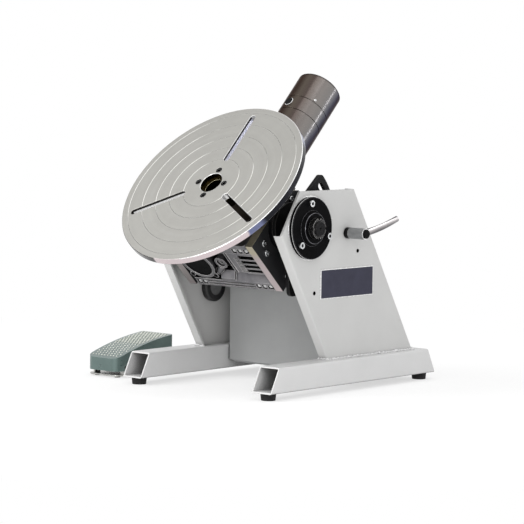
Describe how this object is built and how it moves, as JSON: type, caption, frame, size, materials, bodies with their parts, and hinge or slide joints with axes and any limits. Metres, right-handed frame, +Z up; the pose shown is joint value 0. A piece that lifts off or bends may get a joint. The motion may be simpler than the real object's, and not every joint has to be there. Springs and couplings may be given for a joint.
{
  "type": "welding positioner",
  "caption": "Bench welding positioner: slotted round faceplate on a worm gearmotor that tilts between two welded side frames, with a clamp lever, control box and foot pedal.",
  "frame": {"origin": "on the floor, in the middle of the four rubber feet", "axes": "+X along the tilt axis towards the clamp lever, -Y to the front that the faceplate tips towards, +Z up"},
  "size_m": [0.5957, 0.6185, 0.624],
  "materials": {
    "frame_paint": "satin light grey powder paint",
    "box_paint": "satin mid grey powder paint",
    "foot_rubber": "black moulded rubber",
    "screw_steel": "zinc plated steel",
    "bearing_black": "gloss black paint",
    "shaft_steel": "turned steel",
    "locknut_black": "black oxide steel",
    "table_steel": "fine turned steel face with a bright rim",
    "cast_alloy": "plain die cast aluminium",
    "cheek_steel": "gloss black paint with bare cut edges",
    "cap_black": "smooth black",
    "motor_metal": "warm grey metallic paint",
    "lever_grey": "satin grey steel",
    "lever_chrome": "polished chrome",
    "plate_slate": "dark slate plate, left bare",
    "socket_black": "black moulding",
    "socket_grey": "plated steel",
    "lamp_green": "green lens",
    "stop_red": "red moulding",
    "coil_iron": "varnished laminations",
    "board_green": "circuit board",
    "pedal_green": "grey green painted casting",
    "pedal_zinc": "zinc plated sheet",
    "spring_steel": "spring steel"
  },
  "bodies": {
    "base": {"side_frame_right": "frame_paint", "side_frame_left": "frame_paint", "foot_tube_right": "frame_paint", "foot_tube_left": "frame_paint", "rubber_feet": "foot_rubber", "cross_tube": "frame_paint", "pivot_bearing_right": "bearing_black", "pivot_bearing_left": "bearing_black", "pivot_screws": "screw_steel", "clamp_spacer": "frame_paint", "clamp_collar": "locknut_black", "clamp_stud": "shaft_steel", "clamp_nut": "screw_steel", "nameplate": "plate_slate", "earth_socket_ring": "socket_black", "earth_socket_core": "socket_grey", "control_box": "box_paint", "box_base_plate": "box_paint", "control_panel": "box_paint", "pedal_socket": "socket_black", "mains_gland": "socket_black", "pilot_lamp": "lamp_green", "transformer": "coil_iron", "drive_board": "board_green", "box_brackets": "frame_paint", "pedal_base": "pedal_zinc", "pedal_pin": "shaft_steel", "pedal_feet": "foot_rubber", "pedal_gland": "socket_black", "pedal_switch": "socket_black", "pedal_spring": "spring_steel"},
    "head": {"cheek_right": "cheek_steel", "cheek_left": "cheek_steel", "trunnion_right": "shaft_steel", "trunnion_left": "shaft_steel", "trunnion_locknuts": "locknut_black", "sector_plate": "locknut_black", "gearbox_housing": "cast_alloy", "worm_end_cap": "cap_black", "oil_plug": "cast_alloy", "gear_stage": "cast_alloy", "motor_body": "motor_metal", "motor_ring": "motor_metal", "motor_gland": "cap_black", "motor_end_cover": "motor_metal"},
    "table": {"faceplate": "table_steel", "spindle": "shaft_steel", "faceplate_screws": "screw_steel", "spindle_nut": "shaft_steel"},
    "clamp_lever": {"clamp_lever_hub": "lever_grey", "clamp_lever_arm": "lever_chrome", "clamp_lever_cap": "cap_black"},
    "speed_knob_body": {"speed_knob": "socket_black"},
    "direction_switch_body": {"direction_switch": "socket_black"},
    "power_switch_body": {"power_switch": "socket_black"},
    "emergency_stop_body": {"emergency_stop": "stop_red"},
    "pedal": {"pedal_cover": "pedal_green"}
  },
  "joints": [
    {"name": "tilt", "type": "hinge", "parent": "base", "child": "head", "pos_m": [0, -0.129, 0.326], "axis": [1, 0, 0], "range_deg": [-46, 74]},
    {"name": "table_turn", "type": "hinge", "parent": "head", "child": "table", "pos_m": [0, -0.13108, 0.32384], "axis": [0, -0.7193, 0.6947], "continuous": true},
    {"name": "clamp_turn", "type": "hinge", "parent": "base", "child": "clamp_lever", "pos_m": [0.2, -0.012, 0.312], "axis": [1, 0, 0], "range_deg": [-60, 60]},
    {"name": "speed_turn", "type": "hinge", "parent": "base", "child": "speed_knob_body", "pos_m": [-0.08, 0.13676, 0.15], "axis": [0, 0.8591, 0.5118], "range_deg": [-150, 150]},
    {"name": "direction_turn", "type": "hinge", "parent": "base", "child": "direction_switch_body", "pos_m": [-0.02, 0.13676, 0.15], "axis": [0, 0.8591, 0.5118], "range_deg": [-45, 45]},
    {"name": "power_turn", "type": "hinge", "parent": "base", "child": "power_switch_body", "pos_m": [0.035, 0.13676, 0.15], "axis": [0, 0.8591, 0.5118], "range_deg": [0, 90]},
    {"name": "stop_press", "type": "slide", "parent": "base", "child": "emergency_stop_body", "axis": [0, -0.8591, -0.5118], "range_m": [0, 0.004], "stiffness_N_per_m": 1500, "springref_m": -0.003},
    {"name": "pedal_press", "type": "hinge", "parent": "base", "child": "pedal", "pos_m": [-0.3, -0.188, 0.02], "axis": [-1, 0, 0], "range_deg": [0, 2.2], "stiffness_Nm_per_rad": 12, "springref_deg": -6.88, "deforming": ["pedal_spring"]}
  ]
}
